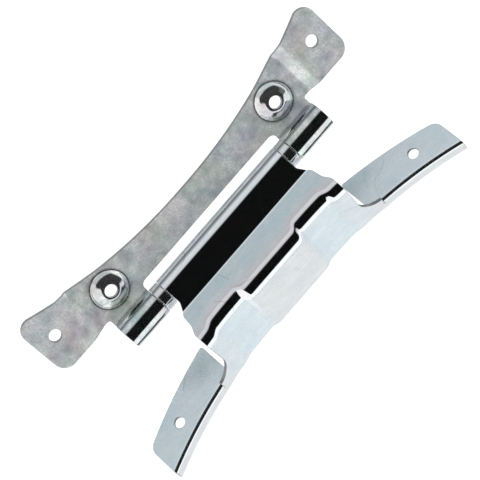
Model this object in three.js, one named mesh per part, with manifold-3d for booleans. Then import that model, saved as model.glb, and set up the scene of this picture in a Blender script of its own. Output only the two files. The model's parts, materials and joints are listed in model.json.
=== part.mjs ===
// Door hinge of a front-loading washing machine, in millimetres, standing upright.
//
// A pressed cabinet leaf carries two rolled knuckles. A pressed door leaf carries a rolled
// barrel between them. A steel pin runs through all three, on a collared bush at each end
// of the barrel. +Z is up along the pin, and -Y is the side that the cabinet's front panel
// lies on. The origin is the middle of the four screw holes, on the plane of their faces.

import * as THREE from "three";
import { mergeVertices } from "three/addons/utils/BufferGeometryUtils.js";
import Module from "manifold-3d";

// Pin, bushes, knuckles and barrel
const pinRadius = 4.1;
const pinRecess = 0.5;
const chamfer = 0.6;
const pinFit = 0.05;
const bushFit = 0.07;
const sleeveFit = 0.08;
const sleeveWall = 0.6;
const sleeveLength = 14;
const collarThickness = 4.3;
const collarStep = 0.15;
const barrelLength = 72.6;
const knuckleLength = 19.6;
const endPlay = 0.3;

// Cabinet leaf
const cabinetSheet = 2.2;
const cabinetReach = 22.9;
const cabinetEdgeStraight = 3;
const cabinetEdgeRadius = 230;
const cabinetSeam = 32;
const windowGap = 2.55;
const windowCorner = 2.5;
const shoulderCorner = 1;
const tabLength = 27.9;
const tabOuterCorner = 7.5;
const tabInnerCorner = 6;
const tabRise = 2.8;
const joggleGap = 3.7;
const joggleRun = 5;
const tabHoleRadius = 2.75;
const tabHoleEndInset = 9.2;
const tabHoleEdgeInset = 12.6;
const bossRadius = 8.1;
const bossEdgeInset = 10.1;
const bossShoulderRun = 1.1;
const bossShoulderShare = 0.42;
const bossRim = 0.9;
const bossHoleRadius = 2.75;
const bossInsetShare = 0.35;

// Door leaf
const doorSheet = 1.5;
const doorSeam = 48;
const openAngle = 128;
const stripSlope = 30;
const rampDrop = 0.2;
const creaseRadius = 2.5;
const ridgeRadius = 3.55;
const wallReach = 30.2;
const wallStraight = 20;
const wallRadius = 200;
const wallFoot = 5.1;
const flangeDepth = 29.4;
const flangeBend = 1.75;
const fluteTopDepth = 2.9;
const fluteFootDepth = 1.2;
const fluteEndShare = 0.4;
const fluteStart = 14.5;
const fluteRiseRun = 4;
const fluteFallRun = 5;
const fluteEndInset = 4.3;
const slitWidth = 2.3;
const webRadius = 8.5;
const webStep = 1.4;
const reliefGap = 0.8;
const wingReach = 39.9;
const wingEdgeReach = 8.2;
const wingEdgeRadius = 230;
const wingCorner = 5;
const wingHoleRadius = 2.4;
const wingHoleInset = 16.5;

// Where the strip and ramp widen past the barrel: [distance from the pin, rise past its end]
const stripFlare = [
  [8.85, 0],
  [14.2, 3.5],
  [19.6, 4.1],
  [23.3, 6],
];

// How finely curves are drawn, and how far cutters run past what they cut
const roundSegments = 48;
const bossSegments = 40;
const placeGrid = 1 / 2048;
const cutMargin = 1;

// Derived places
const knuckleBore = pinRadius + pinFit;
const knuckleRadius = knuckleBore + cabinetSheet;
const bushBore = pinRadius + bushFit;
const sleeveRadius = bushBore + sleeveWall;
const barrelBore = sleeveRadius + sleeveFit;
const barrelRadius = barrelBore + doorSheet;
const collarRadius = barrelRadius - collarStep;
const barrelHalf = barrelLength / 2;
const knuckleInner = barrelHalf + endPlay + collarThickness + endPlay;
const knuckleOuter = knuckleInner + knuckleLength;
const plateFront = knuckleBore;
const screwPlane = plateFront - tabRise;
const windowReach = barrelRadius + windowGap;
const cabinetHalf = knuckleOuter + tabLength;
const joggleStart = knuckleOuter + joggleGap;
const bossHeight = (knuckleInner + knuckleOuter) / 2;
const bossReach = -cabinetEdge(bossHeight) - bossEdgeInset;
const tabHoleHeight = cabinetHalf - tabHoleEndInset;
const tabHoleReach = -cabinetEdge(tabHoleHeight) - tabHoleEdgeInset;
const patternReach = (tabHoleReach + bossReach) / 2;
const middleHalf = barrelHalf + stripFlare.at(-1)[1];
const fluteEnd = middleHalf - fluteEndInset;
const fluteRise = [fluteStart, fluteStart + fluteRiseRun];
const fluteFall = [fluteEnd - fluteFallRun, fluteEnd];
const wallDepth = flangeDepth + doorSheet + wallFoot;
const wingInner = middleHalf + slitWidth;
const webRoot = flangeDepth - webStep - webRadius;
const webEnd = middleHalf + webRadius;
const webOverlap = webEnd + cutMargin;
const wingHalf = webEnd + wingReach;

const wasm = await Module();
wasm.setup();

// --- Solids -----------------------------------------------------------------

// Places are rounded to a fine grid, so that faces meant to lie in one plane do.
function toSolid(geometry) {
  const bare = geometry.index ? geometry.toNonIndexed() : geometry.clone();
  bare.deleteAttribute("normal");
  bare.deleteAttribute("uv");
  const places = bare.attributes.position.array;
  places.forEach((place, i) => {
    places[i] = Math.round(place / placeGrid) * placeGrid;
  });
  const merged = mergeVertices(bare, 1e-4);
  return new wasm.Manifold(
    new wasm.Mesh({
      numProp: 3,
      vertProperties: merged.attributes.position.array,
      triVerts: new Uint32Array(merged.index.array),
    }),
  );
}

function toGeometry(solid) {
  const mesh = solid.getMesh();
  const geometry = new THREE.BufferGeometry();
  geometry.setAttribute("position", new THREE.BufferAttribute(mesh.vertProperties, 3));
  geometry.setIndex(new THREE.BufferAttribute(mesh.triVerts, 1));
  geometry.computeVertexNormals();
  return geometry;
}

function union(solids) {
  return solids.reduce((whole, solid) => whole.add(solid));
}

// A lathe turned about the pin's direction: the profile is [radius, z] points.
function turned(profile, segments = roundSegments) {
  const points = profile.map(([radius, z]) => new THREE.Vector2(radius, z));
  return new THREE.LatheGeometry(points, segments).rotateX(Math.PI / 2);
}

// A closed outline of [x, z] points, extruded through the sheet from y0 to y1.
function throughSheet(outline, y0, y1) {
  const shape = new THREE.Shape(outline.map(([x, z]) => new THREE.Vector2(x, z)));
  const geometry = new THREE.ExtrudeGeometry(shape, { depth: y1 - y0, bevelEnabled: false });
  return geometry.rotateX(Math.PI / 2).translate(0, y1, 0);
}

function holeCutter(x, z, radius, y0, y1) {
  const geometry = new THREE.CylinderGeometry(radius, radius, y1 - y0, roundSegments / 2);
  return toSolid(geometry.translate(x, (y0 + y1) / 2, z));
}

// --- Outlines ---------------------------------------------------------------

// Rounds the corners of a closed outline: each corner is [x, y, radius].
function roundedOutline(corners, steps = 6) {
  const points = [];
  corners.forEach(([x, y, radius = 0], i) => {
    if (radius === 0) {
      points.push([x, y]);
      return;
    }
    const before = corners[(i + corners.length - 1) % corners.length];
    const after = corners[(i + 1) % corners.length];
    const here = new THREE.Vector2(x, y);
    const back = new THREE.Vector2(before[0], before[1]).sub(here);
    const ahead = new THREE.Vector2(after[0], after[1]).sub(here);
    const halfAngle = Math.acos(back.clone().normalize().dot(ahead.clone().normalize())) / 2;
    const longest = Math.min(back.length(), ahead.length()) * 0.9;
    const tangent = Math.min(radius / Math.tan(halfAngle), longest);
    const fillet = tangent * Math.tan(halfAngle);
    const start = here.clone().addScaledVector(back.clone().normalize(), tangent);
    const end = here.clone().addScaledVector(ahead.clone().normalize(), tangent);
    const bisector = back.normalize().add(ahead.normalize()).normalize();
    const centre = here.clone().addScaledVector(bisector, fillet / Math.sin(halfAngle));
    for (let step = 0; step <= steps; step++) {
      const along = start.clone().lerp(end, step / steps).sub(centre).setLength(fillet);
      points.push([centre.x + along.x, centre.y + along.y]);
    }
  });
  return points;
}

// How far an edge that is straight at the middle and then follows an arc has moved at z.
function arcRise(z, straight, radius) {
  const past = Math.max(Math.abs(z) - straight, 0);
  return radius - Math.sqrt(radius ** 2 - past ** 2);
}

function smooth(value, [from, to]) {
  return THREE.MathUtils.smoothstep(value, from, to);
}

function arcPoints(cx, cy, radius, fromDeg, toDeg, steps) {
  const points = [];
  for (let step = 0; step <= steps; step++) {
    const angle = THREE.MathUtils.degToRad(fromDeg + ((toDeg - fromDeg) * step) / steps);
    points.push([cx + radius * Math.cos(angle), cy + radius * Math.sin(angle)]);
  }
  return points;
}

// --- Bent sheet ---------------------------------------------------------------

// The two faces of a sheet whose middle line is the path: points offset by half the sheet.
function sheetFaces(path, sheet) {
  const left = [];
  const right = [];
  path.forEach(([x, y], i) => {
    const before = path[Math.max(i - 1, 0)];
    const after = path[Math.min(i + 1, path.length - 1)];
    const into = new THREE.Vector2(x - before[0], y - before[1]).normalize();
    const out = new THREE.Vector2(after[0] - x, after[1] - y).normalize();
    const along = into.clone().add(out).normalize();
    const mitre = Math.max(along.dot(into), along.dot(out));
    const reach = sheet / 2 / mitre;
    left.push([x - along.y * reach, y + along.x * reach]);
    right.push([x + along.y * reach, y - along.x * reach]);
  });
  return { left, right };
}

// A bent sheet as one closed body: a path across the sheet at each height, skinned upwards.
function bentSheet(heights, pathAt, sheet) {
  const positions = [];
  const rings = heights.map((z) => {
    const { left, right } = sheetFaces(pathAt(z), sheet);
    return [...right, ...left.reverse()].map(([x, y]) => [x, y, z]);
  });
  const count = rings[0].length;
  const quad = (a, b, c, d) => positions.push(...a, ...b, ...c, ...a, ...c, ...d);
  for (let level = 0; level + 1 < rings.length; level++) {
    for (let i = 0; i < count; i++) {
      const next = (i + 1) % count;
      quad(rings[level][i], rings[level][next], rings[level + 1][next], rings[level + 1][i]);
    }
  }
  const bottom = rings[0];
  const top = rings[rings.length - 1];
  for (let i = 0; i + 1 < count / 2; i++) {
    const j = count - 1 - i;
    quad(bottom[i], bottom[j], bottom[j - 1], bottom[i + 1]);
    quad(top[i], top[i + 1], top[j - 1], top[j]);
  }
  const geometry = new THREE.BufferGeometry();
  geometry.setAttribute("position", new THREE.Float32BufferAttribute(positions, 3));
  return toSolid(geometry);
}

function evenly(from, to, count) {
  return Array.from({ length: count + 1 }, (_, i) => from + ((to - from) * i) / count);
}

function mirrorUp(solid) {
  return solid.mirror([0, 0, 1]);
}

// --- Cabinet leaf ---------------------------------------------------------------

function cabinetEdge(z) {
  return -cabinetReach - arcRise(z, cabinetEdgeStraight, cabinetEdgeRadius);
}

function cabinetOutline() {
  const edge = evenly(cabinetEdgeStraight, cabinetHalf - tabOuterCorner, 10);
  const upper = [
    ...edge.map((z) => [cabinetEdge(z), z]),
    [cabinetEdge(cabinetHalf), cabinetHalf, tabOuterCorner],
    [-windowReach, cabinetHalf, tabInnerCorner],
    [-windowReach, knuckleOuter, shoulderCorner],
    [0, knuckleOuter],
    [0, knuckleInner],
    [-windowReach, knuckleInner, windowCorner],
  ];
  const lower = upper.map(([x, z, radius]) => [x, -z, radius]).reverse();
  return roundedOutline([...upper, ...lower]);
}

// The plate's side profile: level in the middle, stepped forward at each tab.
function joggleProfile() {
  const slope = Math.atan2(tabRise, joggleRun);
  const mitre = cabinetSheet * Math.tan(slope / 2);
  const beyond = cabinetHalf + cutMargin;
  const face = (y, shift) => [
    [y, joggleStart + shift],
    [y - tabRise, joggleStart + joggleRun + shift],
    [y - tabRise, beyond],
  ];
  const front = face(plateFront, 0);
  const rear = face(plateFront + cabinetSheet, mitre).reverse();
  const upper = [...front, ...rear];
  const lower = upper.map(([y, z]) => [y, -z]).reverse();
  return [...upper, ...lower];
}

function joggledPlate() {
  const profile = joggleProfile().map(([y, z]) => new THREE.Vector2(y, z));
  const width = cutMargin - cabinetEdge(cabinetHalf);
  const settings = { depth: width, bevelEnabled: false };
  const across = new THREE.ExtrudeGeometry(new THREE.Shape(profile), settings);
  // The profile is drawn as [y, z], so its plane is turned to face along X.
  const turn = new THREE.Matrix4().makeBasis(
    new THREE.Vector3(0, 1, 0),
    new THREE.Vector3(0, 0, 1),
    new THREE.Vector3(1, 0, 0),
  );
  across.applyMatrix4(turn).translate(-width, 0, 0);
  const outline = throughSheet(cabinetOutline(), screwPlane - cutMargin, knuckleRadius + cutMargin);
  return toSolid(across).intersect(toSolid(outline));
}

// A rolled knuckle: the plate runs on to the back of the roll and round the pin.
function knuckle() {
  const strap = windowReach / 2;
  const wrap = (radius) => arcPoints(0, 0, radius, 90, -180 - cabinetSeam, roundSegments);
  const section = [
    [-strap, knuckleRadius],
    ...wrap(knuckleRadius),
    ...wrap(knuckleBore).reverse(),
    [-strap, knuckleBore],
  ];
  const shape = new THREE.Shape(section.map(([x, y]) => new THREE.Vector2(x, y)));
  const settings = { depth: knuckleLength, bevelEnabled: false };
  return toSolid(new THREE.ExtrudeGeometry(shape, settings).translate(0, 0, knuckleInner));
}

// The profile of a conical boss around a screw hole, run on past both faces of the plate.
function bossProfile(lift, inset) {
  const shoulder = [bossRadius - bossShoulderRun - inset, tabRise * bossShoulderShare + lift];
  const run = bossShoulderRun / (tabRise * bossShoulderShare);
  return [
    [bossHoleRadius + bossRim - inset / 2, tabRise + lift],
    shoulder,
    [shoulder[0] + run * cabinetSheet, shoulder[1] - cabinetSheet],
  ];
}

// A lathe solid with its profile's rise towards -Y, at the upper boss.
function atBoss(profile) {
  const solid = turned(profile, bossSegments).rotateX(Math.PI / 2);
  return toSolid(solid.translate(-bossReach, plateFront, bossHeight));
}

function bossBody() {
  const face = bossProfile(0, 0);
  return atBoss([[0, face[2][1]], face[2], face[1], face[0], [0, face[0][1]]]);
}

function bossCutter() {
  const face = bossProfile(-cabinetSheet, cabinetSheet * bossInsetShare);
  const above = tabRise + cutMargin;
  return atBoss([
    [0, face[2][1]],
    face[2],
    face[1],
    face[0],
    [bossHoleRadius, face[0][1]],
    [bossHoleRadius, above],
    [0, above],
  ]);
}

function cabinetLeaf() {
  let leaf = joggledPlate();
  leaf = leaf.add(bossBody()).add(mirrorUp(bossBody()));
  leaf = leaf.subtract(bossCutter()).subtract(mirrorUp(bossCutter()));
  leaf = leaf.add(knuckle()).add(mirrorUp(knuckle()));
  const [front, rear] = [screwPlane - cutMargin, knuckleRadius + cutMargin];
  const hole = holeCutter(-tabHoleReach, tabHoleHeight, tabHoleRadius, front, rear);
  return leaf.subtract(hole).subtract(mirrorUp(hole));
}

// --- Door leaf: x runs from the pin to the wall, y backwards, before it is turned open ------

// How much of the flutes' depth the wall is pressed in at z.
function fluteShare(z) {
  const height = Math.abs(z);
  const ends = fluteEndShare * smooth(height, [middleHalf, webEnd]);
  return smooth(height, fluteRise) - (1 - fluteEndShare) * smooth(height, fluteFall) - ends;
}

// The middle line of the wall: curved in plan, and pressed into flutes that fade downwards.
function wallX(z, y) {
  const depth = THREE.MathUtils.lerp(fluteTopDepth, fluteFootDepth, y / wallDepth);
  const reach = wallReach - doorSheet / 2 + arcRise(z, wallStraight, wallRadius);
  return reach - fluteShare(z) * depth;
}

// Rounds the turns of an open path: each turn is [x, y, radius].
function bentPath(turns, steps = 5) {
  const points = [];
  turns.forEach(([x, y, radius = 0], i) => {
    if (radius === 0) {
      points.push([x, y]);
      return;
    }
    const [before, after] = [turns[i - 1], turns[i + 1]].map((turn) => turn.slice(0, 2));
    points.push(...roundedOutline([before, [x, y, radius], after], steps).slice(1, -1));
  });
  return points;
}

// Barrel, strip, ramp, ridge and wall in one line across the sheet.
function middlePath(z) {
  const slope = THREE.MathUtils.degToRad(stripSlope);
  const rampY = doorSheet / 2 - rampDrop;
  const exit = stripSlope - 90;
  const roll = arcPoints(0, 0, barrelRadius - doorSheet / 2, exit + doorSeam, exit + 360, roundSegments);
  const start = roll[roll.length - 1];
  const creaseX = start[0] + (rampY - start[1]) / Math.tan(slope);
  const bends = bentPath([
    start,
    [creaseX, rampY, creaseRadius],
    [wallX(z, rampY), rampY, ridgeRadius],
    [wallX(z, wallDepth), wallDepth],
  ]);
  return [...roll.slice(0, -1), ...bends];
}

function middleHeights() {
  const land = evenly(0, fluteRise[0], 1);
  const rise = evenly(fluteRise[0], fluteRise[1], 4).slice(1);
  const floor = evenly(fluteRise[1], fluteFall[0], 2).slice(1);
  const fall = evenly(fluteFall[0], fluteFall[1], 4).slice(1);
  const end = evenly(fluteFall[1], middleHalf, 2).slice(1);
  const upper = [...land, ...rise, ...floor, ...fall, ...end];
  return [...upper.slice(1).reverse().map((z) => -z), ...upper];
}

// Trims the barrel to its length, and the strip and ramp to their flare.
function barrelTrim() {
  const flare = stripFlare.map(([x, rise]) => [x, barrelHalf + rise]);
  const beyond = middleHalf + cutMargin;
  const outline = [
    [-barrelRadius - cutMargin, barrelHalf],
    ...flare,
    [flare.at(-1)[0], beyond],
    [-barrelRadius - cutMargin, beyond],
  ];
  return toSolid(throughSheet(outline, -barrelRadius - cutMargin, barrelRadius + cutMargin));
}

// The web beside the slit: its top edge falls in a fillet from the slit's root to the flange.
function webPath(z) {
  const past = THREE.MathUtils.clamp(webEnd - z, 0, webRadius);
  const top = webRoot + Math.sqrt(webRadius ** 2 - past ** 2);
  return [
    [wallX(z, top), top],
    [wallX(z, wallDepth), wallDepth],
  ];
}

function webHeights() {
  const angles = evenly(0, 90, 8).map(THREE.MathUtils.degToRad);
  const fillet = angles.map((angle) => webEnd - webRadius * Math.cos(angle));
  return [middleHeights().at(-2), ...fillet, webOverlap];
}

function wingEdge(z) {
  return wingEdgeReach + arcRise(z, 0, wingEdgeRadius);
}

// Flange, bend and wall foot of a wing, in one line across the sheet.
function wingPath(z) {
  const flangeY = flangeDepth + doorSheet / 2;
  return bentPath([
    [wingEdge(z), flangeY],
    [wallX(z, flangeY), flangeY, flangeBend],
    [wallX(z, wallDepth), wallDepth],
  ]);
}

// The flange's inner end, free of the wall beside the slit.
function tonguePath(z) {
  const flangeY = flangeDepth + doorSheet / 2;
  return [
    [wingEdge(z), flangeY],
    [wallX(z, flangeY) - doorSheet / 2 - reliefGap, flangeY],
  ];
}

function wing() {
  const pieces = [
    bentSheet(webHeights(), webPath, doorSheet),
    bentSheet([webEnd, ...evenly(webOverlap, wingHalf, 13)], wingPath, doorSheet),
    bentSheet([wingInner, webEnd, webOverlap], tonguePath, doorSheet),
  ];
  const height = wingHalf - wingHoleInset;
  const middle = (wingEdge(height) + wallX(height, flangeDepth)) / 2;
  const [front, rear] = [flangeDepth - cutMargin, flangeDepth + doorSheet + cutMargin];
  const hole = holeCutter(middle, height, wingHoleRadius, front, rear);
  return union(pieces).subtract(hole).subtract(wingCornerCutter());
}

// Cuts the flange's outer corner to a radius.
function wingCornerCutter() {
  const edge = wingEdge(wingHalf);
  const span = 2 * wingCorner;
  const slope = (edge - wingEdge(wingHalf - span)) / span;
  const along = span + cutMargin;
  const start = [edge - slope * along, wingHalf - along];
  const rounded = roundedOutline([start, [edge, wingHalf, wingCorner], [edge + along, wingHalf]]);
  const outside = [
    [edge + along, wingHalf + cutMargin],
    [start[0] - wingCorner, wingHalf + cutMargin],
    [start[0] - wingCorner, start[1]],
  ];
  const [front, rear] = [flangeDepth - cutMargin, flangeDepth + doorSheet + cutMargin];
  return toSolid(throughSheet([...rounded, ...outside].reverse(), front, rear));
}

function doorLeaf() {
  const middle = bentSheet(middleHeights(), middlePath, doorSheet)
    .subtract(barrelTrim())
    .subtract(mirrorUp(barrelTrim()));
  return union([middle, wing(), mirrorUp(wing())]);
}

// --- Pin and bushes ----------------------------------------------------------------------

function hingePin() {
  const half = knuckleOuter - pinRecess;
  return turned([
    [0, -half],
    [pinRadius - chamfer, -half],
    [pinRadius, chamfer - half],
    [pinRadius, half - chamfer],
    [pinRadius - chamfer, half],
    [0, half],
  ]);
}

// The upper bush: a collar above the barrel and a sleeve down inside it.
function bush() {
  const seat = barrelHalf + endPlay;
  const top = seat + collarThickness;
  const edge = chamfer / 2;
  return turned([
    [bushBore, seat - sleeveLength],
    [sleeveRadius, seat - sleeveLength],
    [sleeveRadius, seat],
    [collarRadius - edge, seat],
    [collarRadius, seat + edge],
    [collarRadius, top - edge],
    [collarRadius - edge, top],
    [bushBore, top],
    [bushBore, seat - sleeveLength],
  ]);
}

// --- Assembly --------------------------------------------------------------------------

const zincCabinet = new THREE.MeshStandardMaterial({ color: 0xb4b7b8, roughness: 0.45, metalness: 0.9 });
const zincDoor = new THREE.MeshStandardMaterial({ color: 0xc6ccd0, roughness: 0.28, metalness: 0.95 });
const pinSteel = new THREE.MeshStandardMaterial({ color: 0xa9a9a6, roughness: 0.3, metalness: 1 });
const bushSteel = new THREE.MeshStandardMaterial({ color: 0xb9babc, roughness: 0.2, metalness: 1 });

function part(name, geometry, material) {
  const mesh = new THREE.Mesh(geometry, material);
  mesh.name = name;
  return mesh;
}

const hinge = new THREE.Group();
const onPin = new THREE.Group();
onPin.position.set(patternReach, -screwPlane, 0);
hinge.add(onPin);

const door = new THREE.Group();
door.rotation.z = THREE.MathUtils.degToRad(openAngle - 180);
onPin.add(door);

onPin.add(part("cabinet_leaf", toGeometry(cabinetLeaf()), zincCabinet));
onPin.add(part("hinge_pin", toGeometry(toSolid(hingePin())), pinSteel));
door.add(part("door_leaf", toGeometry(doorLeaf()), zincDoor));
door.add(part("upper_bush", toGeometry(toSolid(bush())), bushSteel));
door.add(part("lower_bush", toGeometry(mirrorUp(toSolid(bush()))), bushSteel));

export default hinge;
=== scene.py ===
"""A pressed-steel door hinge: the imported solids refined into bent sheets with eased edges.

Each leaf is one sheet. Its flat pattern is an outline in (u, z): u runs across the sheet and z
runs up it. A surface function bends that pattern into the sheet's middle, and the sheet's
thickness is laid off on both sides of it. Lengths in the leaf functions are in millimetres.
"""

import json
import math

import bmesh
import bpy
import numpy as np
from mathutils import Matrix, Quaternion, Vector
from mathutils.geometry import delaunay_2d_cdt


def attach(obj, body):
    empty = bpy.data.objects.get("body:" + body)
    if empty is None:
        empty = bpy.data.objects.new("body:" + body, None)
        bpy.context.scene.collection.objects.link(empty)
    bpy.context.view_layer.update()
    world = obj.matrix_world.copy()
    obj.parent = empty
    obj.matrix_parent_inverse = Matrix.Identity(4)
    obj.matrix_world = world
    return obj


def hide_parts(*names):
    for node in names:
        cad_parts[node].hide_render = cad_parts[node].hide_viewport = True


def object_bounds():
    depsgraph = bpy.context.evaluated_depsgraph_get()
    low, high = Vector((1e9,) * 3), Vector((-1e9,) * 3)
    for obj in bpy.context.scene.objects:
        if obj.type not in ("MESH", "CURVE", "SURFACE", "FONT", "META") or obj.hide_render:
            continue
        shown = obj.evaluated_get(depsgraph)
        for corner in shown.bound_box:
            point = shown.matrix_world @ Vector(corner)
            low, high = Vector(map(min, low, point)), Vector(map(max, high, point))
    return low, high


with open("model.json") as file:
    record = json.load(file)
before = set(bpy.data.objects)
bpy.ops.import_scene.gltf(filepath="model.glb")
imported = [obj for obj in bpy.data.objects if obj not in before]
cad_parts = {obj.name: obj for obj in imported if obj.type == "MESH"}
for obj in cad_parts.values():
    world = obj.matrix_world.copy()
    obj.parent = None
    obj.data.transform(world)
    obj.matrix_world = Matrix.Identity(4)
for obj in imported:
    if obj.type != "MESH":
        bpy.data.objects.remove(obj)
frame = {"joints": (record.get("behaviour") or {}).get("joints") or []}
cad_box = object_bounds()
MM = 0.001

# --- Sizes, in millimetres: the solids' own, but for lip, ridge, flange bend, wing end and eases ---

PIN_RADIUS = 4.1
PIN_RECESS = 0.5
PIN_FIT = 0.05
BUSH_FIT = 0.07
SLEEVE_FIT = 0.08
SLEEVE_WALL = 0.6
SLEEVE_LENGTH = 14
COLLAR = 4.3
COLLAR_STEP = 0.15
BARREL_LENGTH = 72.6
KNUCKLE_LENGTH = 19.6
END_PLAY = 0.3

CABINET_SHEET = 2.2
CABINET_REACH = 22.9
CABINET_EDGE_STRAIGHT = 3
EDGE_ARC = 230
CABINET_SEAM = 32
WINDOW_GAP = 2.55
TAB_LENGTH = 27.9
TAB_CORNER = 7.5
TAB_INNER_CORNER = 6
TAB_RISE = 2.8
JOGGLE_GAP = 3.7
JOGGLE_RUN = 5
SCREW_HOLE = 2.75
TAB_HOLE_END = 9.2
TAB_HOLE_EDGE = 12.6
BOSS_RADIUS = 8.1
BOSS_EDGE = 10.1
BOSS_SHOULDER = 1.1
BOSS_SHOULDER_SHARE = 0.42
BOSS_RIM = 0.9

LIP_START = 47
LIP_FULL = 62
LIP_END = 66
LIP_WIDTH = 3.2
LIP_BACK = 0.9

DOOR_SHEET = 1.5
DOOR_SEAM = 48
STRIP_SLOPE = 30
RAMP_DROP = 0.2
CREASE_RADIUS = 2.5
RIDGE_RADIUS = 4.6
WALL_REACH = 30.2
WALL_STRAIGHT = 20
WALL_ARC = 200
WALL_FOOT = 5.1
FLANGE_DEPTH = 29.4
FLANGE_BEND = 1.25
FLUTE_TOP = 2.9
FLUTE_FOOT = 1.2
FLUTE_END_SHARE = 0.4
FLUTE_START = 14.5
FLUTE_RISE = 4
FLUTE_FALL = 5
FLUTE_END_INSET = 4.3
SLIT = 2.3
WEB_RADIUS = 8.5
WEB_STEP = 1.4
WING_REACH = 39.9
WING_EDGE = 8.2
WING_CORNER = 5
WING_HOLE = 2.4
WING_HOLE_INSET = 16.5
WING_END_SET = 0.25
CABINET_EASE = 0.28
DOOR_EASE = 0.22
JOGGLE_EASE = 0.9
BOSS_EASE = 0.55
FLARE = [(8.85, 0), (14.2, 3.5), (19.6, 4.1), (23.3, 6)]

knuckle_bore = PIN_RADIUS + PIN_FIT
knuckle_radius = knuckle_bore + CABINET_SHEET
bush_bore = PIN_RADIUS + BUSH_FIT
sleeve_radius = bush_bore + SLEEVE_WALL
barrel_radius = sleeve_radius + SLEEVE_FIT + DOOR_SHEET
barrel_half = BARREL_LENGTH / 2
knuckle_inner = barrel_half + 2 * END_PLAY + COLLAR
knuckle_outer = knuckle_inner + KNUCKLE_LENGTH
cabinet_half = knuckle_outer + TAB_LENGTH
window_reach = barrel_radius + WINDOW_GAP
boss_height = (knuckle_inner + knuckle_outer) / 2
tab_hole_height = cabinet_half - TAB_HOLE_END
middle_half = barrel_half + FLARE[-1][1]
web_end = middle_half + WEB_RADIUS
wing_half = web_end + WING_REACH - WING_END_SET
wing_inner = middle_half + SLIT
wall_depth = FLANGE_DEPTH + DOOR_SHEET + WALL_FOOT
web_root = FLANGE_DEPTH - WEB_STEP - WEB_RADIUS
flange_y = FLANGE_DEPTH + DOOR_SHEET / 2
seam_y = flange_y + FLANGE_BEND + 0.15

swing = frame["joints"][0]
pin_place = np.array(swing["pos_m"]) / MM
rest_turn = math.radians(-swing["range_deg"][0] - 180)

# --- Finish over the flat patterns: degrees of roll, shares and colour factors ---------------

ROLL_POLISH = (5, 40)
BOSS_POLISH = 0.92
RAMP_TEAL = (0.86, 0.95, 0.98)
RAMP_DULL = 0.3
FLANGE_BLUE = (0.9, 0.97, 1)
RIDGE_ROSE = (0.97, 0.91, 0.91)
FLUTE_BLUE = (0.92, 0.98, 1)
WALL_WARM = (1, 0.98, 0.96)
BEND_DULL = 0.2

# --- Mesh steps, in millimetres and degrees -------------------------------------------------

OUTLINE_STEP = 0.9
PLATE_STEP = 1.4
HEIGHT_STEP = 1.6
FINE_STEP = 0.3
ROLL_STEP = 6
FLANGE_STEP = 1.3

# --- Curves ------------------------------------------------------------------------------


def arc_rise(z, straight, radius):
    """How far an edge that is straight at first and then follows an arc has moved at z."""
    past = np.maximum(np.abs(z) - straight, 0)
    return radius - np.sqrt(radius**2 - past**2)


def smoothstep(value, low, high):
    t = np.clip((value - low) / (high - low), 0, 1)
    return t * t * (3 - 2 * t)


def eased_hinge(t, ease):
    """Nothing below 0 and t above it, with the corner eased over +-ease."""
    return np.where(t > ease, t, np.where(t < -ease, 0, (t + ease) ** 2 / (4 * ease)))


def eased_line(t, knots, ease):
    """Heights along a line through (place, height) knots, level beyond both ends."""
    slopes = [0] + [(b[1] - a[1]) / (b[0] - a[0]) for a, b in zip(knots, knots[1:])] + [0]
    height = np.full_like(t, knots[0][1], dtype=float)
    for (place, _), before, after in zip(knots, slopes, slopes[1:]):
        height = height + (after - before) * eased_hinge(t - place, ease)
    return height


def middle_of(knots, sheet):
    """The knots of a sheet's middle line, half the sheet behind those of its front."""
    points = [np.array(k, float) for k in knots]
    runs = [np.array([1.0, 0])] + [b - a for a, b in zip(points, points[1:])] + [np.array([1.0, 0])]
    normals = [np.array([-r[1], r[0]]) / np.hypot(*r) for r in runs]
    shifted = []
    for point, n1, n2 in zip(points, normals, normals[1:]):
        moved = point - (n1 + n2) / (1 + n1 @ n2) * sheet / 2
        shifted.append((moved[0], moved[1] + sheet / 2))
    return shifted


def rounded(corners, steps=6):
    """A closed outline with its (x, y, radius) corners rounded."""
    outline = []
    for i, corner in enumerate(corners):
        here = np.array(corner[:2], float)
        radius = corner[2] if len(corner) > 2 else 0
        if not radius:
            outline.append(here)
            continue
        back = np.array(corners[i - 1][:2], float) - here
        ahead = np.array(corners[(i + 1) % len(corners)][:2], float) - here
        reach = min(np.hypot(*back), np.hypot(*ahead)) * 0.9
        back /= np.hypot(*back)
        ahead /= np.hypot(*ahead)
        half = math.acos(np.clip(back @ ahead, -1, 1)) / 2
        tangent = min(radius / math.tan(half), reach)
        fillet = tangent * math.tan(half)
        bisector = (back + ahead) / np.hypot(*(back + ahead))
        centre = here + bisector * fillet / math.sin(half)
        start, end = here + back * tangent, here + ahead * tangent
        for step in range(steps + 1):
            along = start + (end - start) * step / steps - centre
            outline.append(centre + along / np.hypot(*along) * fillet)
    return outline


def subdivided(points, joined=()):
    """A closed outline with its free runs cut to OUTLINE_STEP; joined runs keep their points."""
    cut = []
    for here, ahead in zip(points, points[1:] + points[:1]):
        here, ahead = np.array(here, float), np.array(ahead, float)
        count = max(1, math.ceil(np.hypot(*(ahead - here)) / OUTLINE_STEP))
        if any(test(here) and test(ahead) for test in joined):
            count = 1
        cut += [here + (ahead - here) * i / count for i in range(count)]
    return cut


def circle(x, z, radius, count=48):
    turns = np.linspace(0, 2 * math.pi, count, endpoint=False)
    return [np.array([x + radius * math.cos(a), z + radius * math.sin(a)]) for a in turns]


# --- Sheets ------------------------------------------------------------------------------


def offset_point(surface, u, z, w):
    """The point that lies w out of the sheet's middle at (u, z)."""
    step = 0.004
    across = surface(u + step, z) - surface(u - step, z)
    up = surface(u, z + step) - surface(u, z - step)
    normal = np.cross(across, up)
    normal /= np.linalg.norm(normal, axis=1, keepdims=True)
    return surface(u, z) + normal * w[:, None]


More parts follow.
